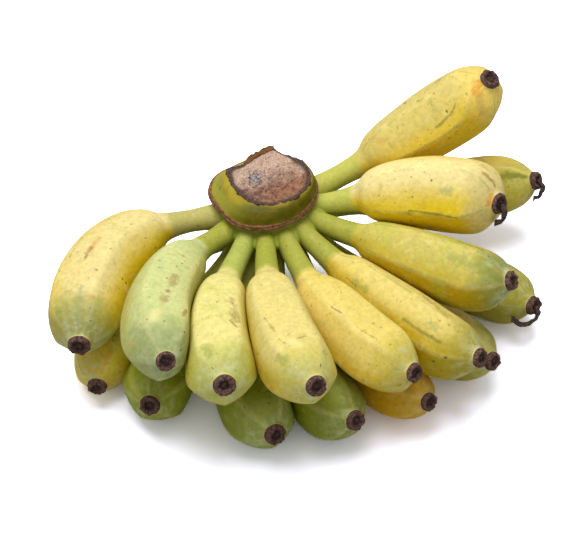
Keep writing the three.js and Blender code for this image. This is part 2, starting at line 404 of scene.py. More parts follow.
# A stub: how far it goes into and out of the crown, the radii of its two ends and its sides
STUB = {"inside": 6 * MM, "outside": 13 * MM, "root": 8.6 * MM, "end": 4.6 * MM, "sides": 24}

FLESH_GRAIN = 1.0 * MM    # the size of the pieces that the joined flesh is made over in
FLESH_ROUGH = 1.2 * MM    # the height of its lumps
UNDER_CUT = 3.5 * MM      # how far the flesh stays below the rim of the cut face, and
RIM_WALL = 1.2 * MM       # how far in from the rim that begins

# Where the flesh dips between the scar and the rim: its azimuth, spread and share of the radius
DIP = {"azimuth": 185, "spread": 25, "depth": 0.08}


def add_stub(line):
    """A tapered stub of flesh round a stalk's root."""
    along = (line[1] - line[0]).normalized()
    length = STUB["inside"] + STUB["outside"]
    bpy.ops.mesh.primitive_cone_add(
        vertices=STUB["sides"],
        radius1=STUB["root"],
        radius2=STUB["end"],
        depth=length,
        location=line[0] + along * (length / 2 - STUB["inside"]),
        rotation=along.to_track_quat("Z", "Y").to_euler(),
    )
    return bpy.context.object


def make_flesh(lines):
    """The crown's flesh, grown together with the roots of the stalks and sunk below the cut face."""
    piece = copy_of_crown("crown_flesh")
    stubs = [add_stub(line) for line in lines]
    only(piece)
    for stub in stubs:
        stub.select_set(True)
    bpy.ops.object.join()
    finish_with(piece, "REMESH", mode="VOXEL", voxel_size=FLESH_GRAIN)
    finish_with(piece, "SMOOTH", factor=0.5, iterations=8)
    roughen(piece, FLESH_LUMPS, FLESH_ROUGH)
    points = read_vectors(piece, "co")
    for i, point in enumerate(points):
        height, azimuth, reach = crown_place(Vector(point))
        share = min(1, max(0, height / RIM_HEIGHT))
        stray = 1 + (rim_stray(azimuth) - 1) * share**3
        dip = DIP["depth"] * bump_at(azimuth, DIP["azimuth"], DIP["spread"])
        stray -= dip * math.sin(math.pi * share)
        points[i][:2] += (point[:2] - np.array(RIM_MIDDLE.xy)) * (stray - 1)
        inside = rim_radius(azimuth) * rim_stray(azimuth) - RIM_WALL - reach * stray
        if inside > 0:
            ceiling = RIM_HEIGHT - UNDER_CUT * min(1, inside / MM)
            points[i] -= np.array(SCAR_NORMAL * max(0, height - ceiling))
    write_points(piece, points)
    shade_smooth(piece)
    return piece


# The scar's strands: how far up and out from the scar's ring each runs, and its radius; and how far it
# wanders up and out and how much its thickness varies. All but the last are millimetres.
STRANDS = [(-0.8, -0.5, 1.2), (0.8, -0.9, 1.05)]
WANDER = {"up": 0.5, "out": 0.4, "thickness": 0.35}
SCAR_FIBRES = 0.35 * MM   # the height of its fibres


def make_scar(ring):
    """The rope-like scar round the crown: two strands side by side."""
    strands = []
    centre = sum(ring, Vector()) / len(ring)
    for i, (lift, reach, radius) in enumerate(STRANDS):
        curve = bpy.data.curves.new(f"scar_strand_{i}", "CURVE")
        curve.dimensions = "3D"
        curve.bevel_depth = radius * MM
        curve.bevel_resolution = 3
        curve.resolution_u = 8
        spline = curve.splines.new("NURBS")
        spline.points.add(len(ring) - 1)
        for j, corner in enumerate(ring):
            outward = (corner - centre).normalized()
            shift = noise.noise(Vector((j * 0.7, i * 5, 0)))
            place = corner + outward * (reach + WANDER["out"] * shift) * MM
            place += UP * (lift + WANDER["up"] * shift) * MM
            spline.points[j].co = (*place, 1)
            spline.points[j].radius = 1 + WANDER["thickness"] * noise.noise(Vector((j * 0.9, i * 3, 7)))
        spline.use_cyclic_u = True
        spline.order_u = 4
        strand = bpy.data.objects.new(f"scar_strand_{i}", curve)
        bpy.context.scene.collection.objects.link(strand)
        only(strand)
        bpy.ops.object.convert(target="MESH")
        strands.append(bpy.context.object)
    piece = strands[0]
    only(piece)
    strands[1].select_set(True)
    bpy.ops.object.join()
    piece.name = piece.data.name = "crown_scar"
    finish_with(piece, "SUBSURF", levels=1, render_levels=1)
    roughen(piece, FIBRES, SCAR_FIBRES)
    shade_smooth(piece)
    return piece


# The torn flap at the back of the rim: its azimuths, and the steps out and up in which it is drawn
FLAP = {"from": 85, "to": 140, "peak": 110, "spread": 14, "steps": [(1.0, 1.0), (1.0, 1.0), (0.6, 0.6)]}
FLAP_HEIGHT = sum(up for _, up in FLAP["steps"]) * MM

# The cut face: its rings, how far in and down each is from the last, its thickness, and how much of a
# millimetre the torn parts stray
CUT_FACE = {"rings": 7, "in": 1.7 * MM, "down": 0.1 * MM, "thickness": 1.8 * MM, "stray": 0.6}
# Its fibres: their size and height in millimetres
CUT_FIBRES = [(1.1, 0.35), (3.2, 0.6)]
# Its hollow: depth in millimetres, middle and width as shares of the way to the rim, azimuth and spread
HOLLOW = {"depth": 1.3, "middle": 0.45, "width": 0.3, "azimuth": 215, "spread": 80}

# Where the rim strays from its node: azimuth, spread and share of its radius
RIM_STRAYS = [(160, 10, 0.18), (85, 10, 0.10), (275, 15, 0.04), (35, 10, 0.05)]
# Where the crust of the rim is wide and stands up: azimuth, spread and width
CRUST_LUMPS = [
    (160, 15, 3 * MM),
    (205, 25, 1.5 * MM),
    (35, 15, 3 * MM),
    (0, 20, 1.5 * MM),
    (105, 40, -3.2 * MM),
]
CRUST_WIDTH = 3.6 * MM


def bump_at(azimuth, middle_azimuth, spread):
    """A smooth bump round an azimuth, 1 at its middle."""
    gap = (azimuth - middle_azimuth + 180) % 360 - 180
    return math.exp(-((gap / spread) ** 2))


def rim_stray(azimuth):
    return 1 + sum(share * bump_at(azimuth, at, spread) for at, spread, share in RIM_STRAYS)


def crust_width(azimuth):
    return CRUST_WIDTH + sum(width * bump_at(azimuth, at, spread) for at, spread, width in CRUST_LUMPS)


def crown_place(point):
    """A point's height above the scar, its azimuth about the cut face's middle and its reach from it."""
    way = point - RIM_MIDDLE
    azimuth = math.degrees(math.atan2(way.y, way.x)) % 360
    return SCAR_NORMAL.dot(point) - SCAR_HEIGHT, azimuth, way.xy.length


def make_cut_face():
    """The cut face of the crown, with its crusted rim and a flap of torn skin at its back."""
    piece = copy_of_crown("crown_cut_face")
    with editing(piece):
        mesh = bmesh.from_edit_mesh(piece.data)
        mesh.verts.layers.float.new("flap")
        rings = rings_in(mesh, lowest)
        top = {vert for ring in rings[RIM_RING:] for vert in ring}
        pole = rings[-1][0].co.copy()
        choose(piece, "verts", lambda vert: vert not in top)
        bpy.ops.mesh.delete(type="VERT")
        choose(piece, "verts", lambda vert: (vert.co - pole).length < WELD)
        bpy.ops.mesh.dissolve_verts()
        bpy.ops.mesh.select_mode(type="FACE")
        choose(piece, "faces", lambda face: len(face.verts) > MANY_SIDES)
        for _ in range(CUT_FACE["rings"]):
            bpy.ops.mesh.inset(thickness=CUT_FACE["in"], depth=-CUT_FACE["down"])
        bpy.ops.mesh.poke()
        bpy.ops.mesh.select_mode(type="EDGE")

        def at_back(edge):
            _, azimuth, _ = crown_place((edge.verts[0].co + edge.verts[1].co) / 2)
            return edge.is_boundary and FLAP["from"] < azimuth < FLAP["to"]

        choose(piece, "edges", at_back)
        for step, (out, up) in enumerate(FLAP["steps"]):
            bpy.ops.mesh.extrude_edges_move(TRANSFORM_OT_translate={"value": (0, out * MM, up * MM)})
            mark_chosen(piece, "flap", (step + 1) / len(FLAP["steps"]))
    finish_with(piece, "SUBSURF", levels=3, render_levels=3)
    weather_cut_face(piece)
    finish_with(piece, "SOLIDIFY", thickness=CUT_FACE["thickness"], offset=-1)
    shade_smooth(piece)
    return piece


def weather_cut_face(piece):
    """Gives the cut face its grain, hollows and lumpy rim, and tells its finish where they are."""
    points = read_vectors(piece, "co")
    flap = read_attribute(piece, "flap")
    rim = np.zeros(len(points), np.float32)
    for i, point in enumerate(points):
        place = Vector(point)
        _, azimuth, reach = crown_place(place)
        outward = (place - RIM_MIDDLE).xy.normalized().to_3d()
        edge = rim_radius(azimuth)
        share = reach / edge
        grain = place / MM
        ragged = noise.noise(grain / 2.2)
        if flap[i] > 0:
            taper = min(1, 1.8 * bump_at(azimuth, FLAP["peak"], FLAP["spread"]))
            points[i] -= np.array(UP * (1 - taper) * flap[i] * FLAP_HEIGHT)
            points[i] += np.array(UP * CUT_FACE["stray"] * ragged * flap[i] * MM)
        rim[i] = min(1, max(0, 1 - (edge - reach) / crust_width(azimuth)))
        fibres = sum(noise.noise(grain / size) * height for size, height in CUT_FIBRES)
        hollow = HOLLOW["depth"] * math.exp(-(((share - HOLLOW["middle"]) / HOLLOW["width"]) ** 2))
        hollow *= bump_at(azimuth, HOLLOW["azimuth"], HOLLOW["spread"])
        crust = 0.6 + 0.3 * max(0, crust_width(azimuth) - CRUST_WIDTH) / MM
        lift = fibres * (1 - 0.5 * rim[i]) - hollow + crust * rim[i] + 0.7 * ragged * rim[i]
        points[i] += np.array(UP * lift * MM)
        stray = edge * (rim_stray(azimuth) - 1) * share**2
        points[i] += np.array(outward * (stray + CUT_FACE["stray"] * ragged * rim[i] * MM))
    write_points(piece, points)
    layer = piece.data.attributes.new("rim", "FLOAT", "POINT")
    layer.data.foreach_set("value", rim)


def rim_radius(azimuth):
    """How far the rim of the cut face's node is from its middle."""
    return float(np.interp(azimuth, RIM_AZIMUTHS, RIM_REACHES, period=360))


# ---- dried flowers ----


# A dried flower: the size of its grain and of what hangs together in it; how far its flat side turns on
# its way down and how it wanders; and how wide and how thin it is drawn out
DRIED = {"grain": 0.35 * MM, "strand": 2 * MM, "turn": 1.4, "wander": 1.2, "fray": 1.6, "flatten": 0.5}


def make_dried_flower(node):
    """A dried flower: a copy of its node's tube, flattened, frayed and crumpled."""
    piece = copy_of_node(node, node + "_remains")
    with editing(piece):
        bpy.ops.mesh.select_all(action="SELECT")
        bpy.ops.mesh.remove_doubles(threshold=WELD)
        bpy.ops.mesh.tris_convert_to_quads()
    finish_with(piece, "REMESH", mode="VOXEL", voxel_size=DRIED["grain"])
    points = read_vectors(piece, "co")
    normals = read_vectors(piece, "normal")
    lowest_z, highest_z = points[:, 2].min(), points[:, 2].max()
    flat = points.copy()
    for i, point in enumerate(points):
        at = Vector(point) / MM
        nearby = points[((points - point) ** 2).sum(axis=1) < DRIED["strand"] ** 2]
        offset = point - nearby.mean(axis=0)
        hanging = (highest_z - point[2]) / (highest_z - lowest_z)
        turn = DRIED["turn"] * hanging + DRIED["wander"] * noise.noise(at / 6)
        broad = np.array((math.cos(turn), math.sin(turn), 0))
        thin = np.array((-math.sin(turn), math.cos(turn), 0))
        frayed = broad * offset.dot(broad) * (0.6 + DRIED["fray"] * hanging)
        flat[i] += frayed - thin * offset.dot(thin) * DRIED["flatten"]
        swell = noise.noise(at / 2.5) * (0.3 + 0.8 * hanging) + noise.noise(at / 0.9) * 0.3
        flat[i] += normals[i] * swell * MM
    write_points(piece, flat)
    shade_smooth(piece)
    return piece


# ---- finishes ----


def paint(red, green, blue):
    """A colour as a shader holds it, from its three parts, 0 to 255."""

    def linear(part):
        share = part / 255
        return share / 12.92 if share <= 0.04045 else ((share + 0.055) / 1.055) ** 2.4

    return (linear(red), linear(green), linear(blue), 1)


class Sheet:
    """A node tree with short ways to add nodes. Each way gives the new node's output."""

    def __init__(self, tree):
        self.tree = tree

    def node(self, kind, **settings):
        made = self.tree.nodes.new(kind)
        for name, value in settings.items():
            setattr(made, name, value)
        return made

    def feed(self, socket, value):
        """Links an output to the socket, or sets the socket to a value. A colour with three parts is one
        of the paints, 0 to 255."""
        if isinstance(value, bpy.types.NodeSocket):
            self.tree.links.new(value, socket)
        elif socket.type == "RGBA" and len(value) == 3:
            socket.default_value = paint(*value)
        else:
            socket.default_value = value

    def fed(self, kind, *values, **settings):
        """A new node with its sockets fed in order."""
        made = self.node(kind, **settings)
        for socket, value in zip(made.inputs, values):
            self.feed(socket, value)
        return made

    def sum_up(self, operation, *values, clamp=False):
        """Any sum on numbers, such as SINE or MAXIMUM."""
        return self.fed("ShaderNodeMath", *values, operation=operation, use_clamp=clamp).outputs[0]

    def times(self, a, b):
        return self.sum_up("MULTIPLY", a, b)

    def plus(self, a, b):
        return self.sum_up("ADD", a, b)

    def minus(self, a, b):
        return self.sum_up("SUBTRACT", a, b)

    def vector(self, operation, *values):
        made = self.fed("ShaderNodeVectorMath", *values, operation=operation)
        return made.outputs["Value" if operation in ("DOT_PRODUCT", "LENGTH") else "Vector"]

    def blend(self, share, first, second, way="MIX"):
        made = self.node("ShaderNodeMix", data_type="RGBA", blend_type=way)
        self.feed(made.inputs["Factor"], share)
        self.feed(made.inputs[6], first)
        self.feed(made.inputs[7], second)
        return made.outputs[2]

    def step(self, value, low, high, to_low=0.0, to_high=1.0):
        """Rises smoothly from to_low to to_high as the value goes from low to high."""
        made = self.node("ShaderNodeMapRange", interpolation_type="SMOOTHSTEP")
        for name, number in zip(("Value", "From Min", "From Max", "To Min", "To Max"),
                                (value, low, high, to_low, to_high)):
            self.feed(made.inputs[name], number)
        return made.outputs["Result"]

    def coat(self, colour, tint, value, low, high, most=1.0):
        """Covers a colour with a tint as the value goes from low to high, as far as most."""
        return self.blend(self.step(value, low, high, 0, most), colour, tint)

    def frayed(self, value, cloud, by):
        """A value that a cloud carries up and down, so that its edge isn't even."""
        return self.plus(value, self.times(self.minus(cloud, 0.5), by))

    def mixed(self, first, second, share=0.5):
        """Two clouds in one: the share of the first, and the rest of the second."""
        return self.plus(self.times(first, share), self.times(second, 1 - share))

    def spread_out(self, cloud, low, high):
        """A cloud drawn out to run from low to high."""
        return self.step(cloud, 0.3, 0.7, low, high)

    def cloud(self, vector, scale, detail, roughness=0.5, seed=0.0):
        """Soft noise about 0.5. Scale is lumps to the metre."""
        made = self.node("ShaderNodeTexNoise", noise_dimensions="4D")
        for name, value in zip(("Vector", "W", "Scale", "Detail", "Roughness"),
                               (vector, seed, scale, detail, roughness)):
            self.feed(made.inputs[name], value)
        return made.outputs["Fac"]

    def cells(self, vector, scale):
        made = self.node("ShaderNodeTexVoronoi")
        self.feed(made.inputs["Vector"], vector)
        self.feed(made.inputs["Scale"], scale)
        return made.outputs["Distance"], made.outputs["Color"]

    def place(self):
        return self.node("ShaderNodeTexCoord").outputs["Object"]

    def stored(self, name):
        return self.node("ShaderNodeAttribute", attribute_name=name).outputs["Fac"]

    def use(self, group, **values):
        """Places a shared group, with its inputs set by name, and gives its outputs."""
        made = self.node("ShaderNodeGroup", node_tree=group)
        for name, value in values.items():
            self.feed(made.inputs[name.replace("_", " ").capitalize()], value)
        return made.outputs


def shared(name, inputs, outputs):
    """Starts a shared group. Inputs and outputs are names with FLOAT, VECTOR or COLOR kinds."""
    kinds = {"FLOAT": "NodeSocketFloat", "VECTOR": "NodeSocketVector", "COLOR": "NodeSocketColor"}
    tree = bpy.data.node_groups.new(name, "ShaderNodeTree")
    for side, sockets in (("INPUT", inputs), ("OUTPUT", outputs)):
        for socket, kind in sockets.items():
            tree.interface.new_socket(name=socket, in_out=side, socket_type=kinds[kind])
    sheet = Sheet(tree)
    return sheet, sheet.node("NodeGroupInput").outputs, sheet.node("NodeGroupOutput").inputs


def make_place_group():
    """Where a point is on a finger's skin: across in turns and along as a share, and both in a vector
    that has no seam, and in one in millimetres from the top of the root."""
    sheet, _, out = shared(
        "place_on_skin",
        {},
        {"Across": "FLOAT", "Along": "FLOAT", "Wrapped": "VECTOR", "Flat": "VECTOR"},
    )
    apart = sheet.fed("ShaderNodeSeparateXYZ", sheet.node("ShaderNodeUVMap", uv_map="skin").outputs[0])
    across, along = apart.outputs[0], apart.outputs[1]
    turn = sheet.times(across, 2 * math.pi)
    sine, cosine = sheet.sum_up("SINE", turn), sheet.sum_up("COSINE", turn)
    wrapped = sheet.fed("ShaderNodeCombineXYZ", sine, cosine, along)
    side = sheet.times(sheet.minus(across, 0.5), 360 * DEGREE_MM)
    flat = sheet.fed("ShaderNodeCombineXYZ", side, sheet.times(along, SKIN_LENGTH_MM))
    sheet.feed(out["Across"], across)
    sheet.feed(out["Along"], along)
    sheet.feed(out["Wrapped"], wrapped.outputs[0])
    sheet.feed(out["Flat"], flat.outputs[0])
    return sheet.tree


def make_mark_group():
    """A mark on a finger's skin, drawn between two points of it that are given in millimetres."""
    sheet, given, out = shared(
        "mark_on_skin",
        {"Start": "VECTOR", "End": "VECTOR", "Half width": "FLOAT", "Softness": "FLOAT",
         "Ragged": "FLOAT", "Torn": "FLOAT"},
        {"Mask": "FLOAT"},
    )
    here = sheet.use(PLACE_GROUP)["Flat"]
    stretch = sheet.vector("SUBTRACT", given["End"], given["Start"])
    offset = sheet.vector("SUBTRACT", here, given["Start"])
    reach = sheet.vector("DOT_PRODUCT", offset, stretch)
    whole = sheet.vector("DOT_PRODUCT", stretch, stretch)
    share = sheet.sum_up("DIVIDE", reach, sheet.sum_up("MAXIMUM", whole, 0.001), clamp=True)
    scaled = sheet.fed("ShaderNodeVectorMath", stretch, operation="SCALE")
    sheet.feed(scaled.inputs["Scale"], share)
    gap = sheet.vector("LENGTH", sheet.vector("SUBTRACT", offset, scaled.outputs[0]))
    far = sheet.sum_up("DIVIDE", gap, given["Half width"])
    far = sheet.frayed(far, given["Torn"], given["Ragged"])
    sheet.feed(out["Mask"], sheet.step(far, sheet.minus(1, given["Softness"]), 1.0, 1.0, 0.0))
    return sheet.tree


# The specks: their number to the metre, their size as a share of their spacing
SPECKS = [(210, 0.2), (480, 0.25)]
SPECK_BAR = 1.15          # fewer are chosen as this rises


def make_speck_group():
    """Small dark specks that gather where a cloud is thick, and the dust of finer ones round them."""
    sheet, given, out = shared("specks", {"Amount": "FLOAT", "Seed": "FLOAT"}, {"Mask": "FLOAT"})
    here = sheet.place()
    crowd = sheet.cloud(here, 45, 2, 0.5, given["Seed"])
    masks = []
    for scale, size in SPECKS:
        distance, colour = sheet.cells(here, scale)
        chance = sheet.fed("ShaderNodeSeparateColor", colour)
        bar = sheet.minus(SPECK_BAR, sheet.times(given["Amount"], crowd))
        chosen = sheet.step(chance.outputs[0], sheet.minus(bar, 0.04), bar)
        dot = sheet.step(distance, size * 0.4, size, 1, 0)
        masks.append(sheet.times(chosen, dot))
    sheet.feed(out["Mask"], sheet.sum_up("MAXIMUM", *masks))
    return sheet.tree


# Clouds that most finishes share: lumps to the metre, detail and roughness
PATCHY = (75, 4, 0.6)
TORN = (190, 5, 0.65)
FINE = (420, 4, 0.6)


def make_skin_group():
    """A finger's skin before its marks: stalk, fruit, ridges, blossom end and button."""
    sheet, given, out = shared(
        "banana_skin",
        {"Top": "COLOR", "Flank": "COLOR", "Leaf": "COLOR", "Tip": "COLOR", "Stalk": "COLOR",
         "Lean": "FLOAT", "Edge": "FLOAT", "Ridge": "FLOAT", "Green": "FLOAT", "Warm": "FLOAT",
         "Bloom": "FLOAT", "Seed": "FLOAT"},
        {"Color": "COLOR", "Roughness": "FLOAT", "Height": "FLOAT", "Button": "FLOAT", "Torn": "FLOAT"},
    )
    here = sheet.use(PLACE_GROUP)
    place = sheet.place()
    seed = given["Seed"]
    broad = sheet.cloud(place, 26, 2, 0.5, seed)
    patchy = sheet.cloud(place, *PATCHY, sheet.plus(seed, 11))
    fine = sheet.cloud(place, *FINE, sheet.plus(seed, 23))
    torn = sheet.cloud(place, *TORN, sheet.plus(seed, 51))
    stretched = sheet.vector("MULTIPLY", here["Wrapped"], (9, 9, 2.2))
    streaks = sheet.cloud(stretched, 1.6, 4, 0.6, sheet.plus(seed, 37))

    # Painted highlight on the top and painted shade on the flanks, by how far round from the top a point
    # is
    flank = sheet.sum_up("ABSOLUTE", sheet.minus(sheet.minus(here["Across"], 0.5), given["Lean"]))
    flank = sheet.frayed(flank, broad, 0.12)
    far_edge = sheet.plus(given["Edge"], 0.15)
    colour = sheet.coat(given["Top"], given["Flank"], flank, given["Edge"], far_edge)
    warm = sheet.step(sheet.mixed(patchy, streaks), 0.5, 0.68)
    colour = sheet.blend(sheet.times(warm, given["Warm"]), colour, WARM)

    bar = sheet.minus(0.80, sheet.times(given["Green"], 0.62))
    level = sheet.mixed(patchy, broad)
    colour = sheet.coat(colour, given["Leaf"], level, sheet.minus(bar, 0.12), sheet.plus(bar, 0.12))

    spots = sheet.cloud(place, 150, 3, 0.6, sheet.plus(seed, 71))
    colour = sheet.coat(colour, SPOT, spots, 0.56, 0.70, 0.4)
    colour = sheet.coat(colour, PALE, spots, 0.44, 0.34, 0.2)

    end = sheet.frayed(here["Along"], patchy, 0.22)
    colour = sheet.coat(colour, given["Tip"], end, 0.78, 0.96, 0.85)
    bloom = sheet.times(sheet.step(end, 0.88, 0.99), sheet.step(torn, 0.42, 0.62, 0.2, 1.0))
    colour = sheet.blend(sheet.times(bloom, given["Bloom"]), colour, BLOOM)

    ridge = sheet.stored("ridge")
    colour = sheet.coat(colour, RIDGE, ridge, 0.6, 0.95, 0.16)
    vein = sheet.times(sheet.step(ridge, 0.78, 0.98), sheet.step(patchy, 0.42, 0.58))
    colour = sheet.blend(sheet.times(vein, given["Ridge"]), colour, VEIN)
    worn = sheet.times(sheet.step(ridge, 0.70, 0.92), sheet.step(torn, 0.60, 0.70))
    colour = sheet.blend(sheet.times(worn, 0.45), colour, SCUFF)

    stalk_colour = sheet.coat(given["Stalk"], SMUDGE, sheet.mixed(torn, patchy), 0.5, 0.66, 0.5)
    stalk = sheet.frayed(sheet.stored("stalk"), patchy, 0.5)
    colour = sheet.coat(colour, stalk_colour, stalk, 0.08, 0.8)

    mottle = sheet.spread_out(sheet.mixed(fine, torn, 0.6), 0.85, 1.1)
    tone = sheet.fed("ShaderNodeCombineColor", mottle, mottle, mottle)
    colour = sheet.blend(1.0, colour, tone.outputs[0], "MULTIPLY")

    button = sheet.stored("button")
    colour = sheet.coat(colour, HALO, sheet.frayed(button, torn, 0.1), 0.02, 0.1, 0.85)
    crust = sheet.step(sheet.frayed(button, fine, 0.4), 0.2, 0.36)
    crumbs = sheet.cloud(place, 800, 5, 0.7, seed)
    # The crust is paler on its raised crumbs, partly as painted highlight, and darker in its pit as
    # painted shade
    crust_colour = sheet.coat(CRUST["dark"], CRUST["pale"], crumbs, 0.35, 0.65)
    crust_colour = sheet.blend(sheet.times(sheet.stored("pit"), 0.75), crust_colour, CRUST["deep"])
    colour = sheet.blend(crust, colour, crust_colour)

    specks = sheet.use(SPECK_GROUP, amount=0.55, seed=seed)["Mask"]
    specks = sheet.times(specks, sheet.minus(1, crust))
    colour = sheet.blend(sheet.times(specks, 0.5), colour, SPECK)

    rough = sheet.plus(sheet.spread_out(patchy, 0.42, 0.54), sheet.times(crust, 0.35))
    bumps = sheet.plus(sheet.times(fine, 0.14), sheet.times(torn, 0.2))
    bumps = sheet.plus(bumps, sheet.times(sheet.times(crust, crumbs), 2.5))
    sheet.feed(out["Color"], colour)
    sheet.feed(out["Roughness"], rough)
    sheet.feed(out["Height"], sheet.plus(bumps, sheet.times(specks, -0.3)))
    sheet.feed(out["Button"], crust)
    sheet.feed(out["Torn"], sheet.mixed(torn, fine))
    return sheet.tree


def new_material(name):
    material = bpy.data.materials.new(name)
    material.use_nodes = True
    material.node_tree.nodes.clear()
    return material, Sheet(material.node_tree)


SHADER_SOCKETS = {
    "specular_ior_level": "Specular IOR Level",
    "subsurface_weight": "Subsurface Weight",
    "subsurface_scale": "Subsurface Scale",
    "subsurface_radius": "Subsurface Radius",
}


# How light spreads inside the peel and the crown's flesh
GLOW = {"subsurface_weight": 0.06, "subsurface_scale": 3 * MM, "subsurface_radius": (1, 0.7, 0.2)}


def shade(sheet, colour, roughness, height, depth, **settings):
    """The material's own shader. Its bumps are as high as the depth."""
    bump = sheet.node("ShaderNodeBump")
    bump.inputs["Distance"].default_value = depth
    sheet.feed(bump.inputs["Height"], height)
    shader = sheet.node("ShaderNodeBsdfPrincipled")
    sheet.feed(shader.inputs["Base Color"], colour)
    sheet.feed(shader.inputs["Roughness"], roughness)
    sheet.feed(shader.inputs["Normal"], bump.outputs[0])
    for name, value in settings.items():
        shader.inputs[SHADER_SOCKETS[name]].default_value = value
    surface = sheet.node("ShaderNodeOutputMaterial")
    sheet.feed(surface.inputs["Surface"], shader.outputs[0])


# Paints of the peel
CREAM = (230, 212, 140)
RIPE = (226, 206, 130)
GOLD = (220, 188, 16)
HONEY = (208, 178, 40)
OLIVE = (170, 162, 44)
LIME = (180, 188, 70)
MINT = (206, 210, 142)
LEAF = (140, 150, 24)
FRESH = (142, 172, 24)
STALK = (170, 172, 70)

# Paints of what grows, dries or rubs on it; the crust's paints also hold painted shade and highlights
WARM = (226, 194, 84)
BLOOM = (200, 206, 160)
SCUFF = (150, 112, 64)
SPOT = (184, 174, 84)
PALE = (246, 232, 164)
RIDGE = (244, 230, 160)
VEIN = (128, 138, 50)
SMUDGE = (176, 156, 96)
HALO = (214, 200, 140)
SPECK = (112, 84, 44)
# The crust's pale paint is partly a painted highlight on its raised crumbs; its pit paint is painted
# shade
CRUST = {"dark": (60, 42, 38), "pale": (136, 104, 92), "deep": (36, 26, 26)}

# A peel: its paints, how far its top's paint leans to its left and how far from the top it reaches (in
# turns), and how much of it is green ridges, green clouds, warm clouds and, at its end, a pale bloom (0
# to 1). The top paint is paler, partly as a painted highlight, and the flank paint deeper and more
# golden, partly as painted shade. Each finger's own row has only what differs from the plain one.
PLAIN = {"top": RIPE, "flank": GOLD, "leaf": LIME, "tip": LIME, "stalk": STALK,
         "lean": 0.0, "edge": 0.06, "ridge": 0.1, "green": 0.15, "warm": 0.3, "bloom": 0.7}
PEELS = {
    "finger_upper_1": {"top": CREAM, "tip": (150, 152, 66), "stalk": (190, 182, 104), "warm": 0.5},
    "finger_upper_2": {
        "top": MINT, "flank": (196, 188, 100), "leaf": (192, 202, 130), "tip": (140, 156, 94),
        "green": 0.45,
    },
    "finger_upper_3": {
        "top": (228, 216, 134), "flank": (202, 188, 66), "tip": (186, 188, 86),
        "stalk": (176, 184, 88), "edge": 0.08, "green": 0.25, "warm": 0.1,
    },
    "finger_upper_4": {
        "top": (226, 209, 126), "flank": HONEY, "tip": (204, 194, 86), "stalk": (166, 170, 66),
        "edge": 0.12, "green": 0.2, "warm": 0.15,
    },
    "finger_upper_5": {
        "top": (230, 208, 112), "flank": (214, 180, 14), "tip": (198, 180, 60), "edge": 0.13,
        "green": 0.0,
    },
    "finger_upper_6": {
        "top": (228, 206, 112), "flank": (190, 160, 6), "tip": (164, 152, 40), "lean": 0.05,
        "ridge": 0.4, "green": 0.1,
    },
    "finger_upper_7": {
        "top": (204, 190, 92), "flank": (196, 168, 20), "tip": (128, 138, 54), "ridge": 0.35,
        "green": 0.35,
    },
    # Its stalk paint is lightened, partly as painted light on a stalk in its neighbours' shade
    "finger_upper_8": {
        "top": (240, 222, 150), "flank": (236, 204, 22), "tip": RIPE, "stalk": (200, 202, 96),
        "ridge": 0.35, "green": 0.05, "bloom": 0.1,
    },
    # Its stalk paint is lightened, partly as painted light on a stalk in its neighbours' shade
    "finger_upper_9": {
        "top": (216, 196, 106), "flank": (230, 196, 14), "tip": (232, 206, 106),
        "stalk": (196, 196, 90), "lean": 0.02, "edge": 0.1, "ridge": 0.35, "green": 0.05, "bloom": 0.0,
    },
    # Its paints are lightened, partly as painted light on a finger that sits in shade
    "finger_lower_1": {
        "top": (254, 236, 88), "flank": (248, 222, 36), "leaf": OLIVE, "tip": HONEY, "green": 0.3,
    },
    "finger_lower_2": {
        "top": (150, 146, 34), "flank": (114, 118, 12), "leaf": LEAF, "tip": LEAF, "green": 0.6,
        "warm": 0.1, "bloom": 0.4,
    },
    "finger_lower_3": {
        "top": (164, 176, 64), "flank": (142, 154, 44), "leaf": LEAF, "tip": (150, 160, 72),
        "green": 0.6, "warm": 0.0, "bloom": 0.5,
    },
    "finger_lower_4": {
        "top": (156, 160, 50), "flank": (114, 122, 14), "leaf": LEAF, "tip": (140, 150, 60),
        "green": 0.6, "warm": 0.0, "bloom": 0.5,
    },
    "finger_lower_5": {
        "top": (228, 184, 46), "flank": (216, 164, 4), "tip": (204, 160, 20), "green": 0.0,
        "bloom": 0.3,
    },
    "finger_lower_6": {"flank": (182, 172, 76), "leaf": LEAF, "tip": OLIVE, "green": 0.3},
    "finger_lower_7": {
        "flank": (186, 168, 60), "leaf": LEAF, "tip": OLIVE, "ridge": 0.5, "green": 0.35, "bloom": 0.4,
    },
    "finger_lower_8": {
        "top": (244, 220, 108), "flank": (184, 172, 50), "leaf": LEAF, "tip": (204, 190, 80),
        "lean": 0.1, "edge": 0.08, "ridge": 0.35, "bloom": 0.3,
    },
}

# Kinds of mark: paint, strength (0 to 1), how much of the half width its soft edge takes (0 to 1), and
# how ragged that edge is
MARK_KINDS = {
    "speck": ((84, 66, 22), 0.8, 0.6, 1.2),
    "freckles": ((158, 132, 78), 0.6, 1.0, 4.0),
    "line": ((138, 110, 54), 0.5, 1.0, 4.5),
    "vein": ((116, 118, 36), 0.6, 0.9, 2.4),
    "scuff": ((146, 110, 62), 0.65, 0.9, 3.0),
    "haze": ((204, 166, 92), 0.6, 1.0, 2.4),
    "gold": ((214, 164, 54), 0.6, 1.0, 2.4),
    "tan": ((204, 154, 80), 0.65, 1.0, 2.6),
    "rust": ((222, 148, 34), 0.7, 1.0, 3.0),
    # The next kind is a paler facet on the side the lamp lights, as painted light
    "painted_lit_side": ((190, 180, 84), 0.5, 1.0, 2.0),
    "cream": ((240, 226, 158), 0.6, 1.0, 2.0),
    "green": ((134, 146, 54), 0.45, 1.0, 3.2),
    "grey": ((146, 160, 108), 0.45, 1.0, 2.4),
    "leaf": ((118, 126, 28), 0.8, 0.8, 1.6),
}

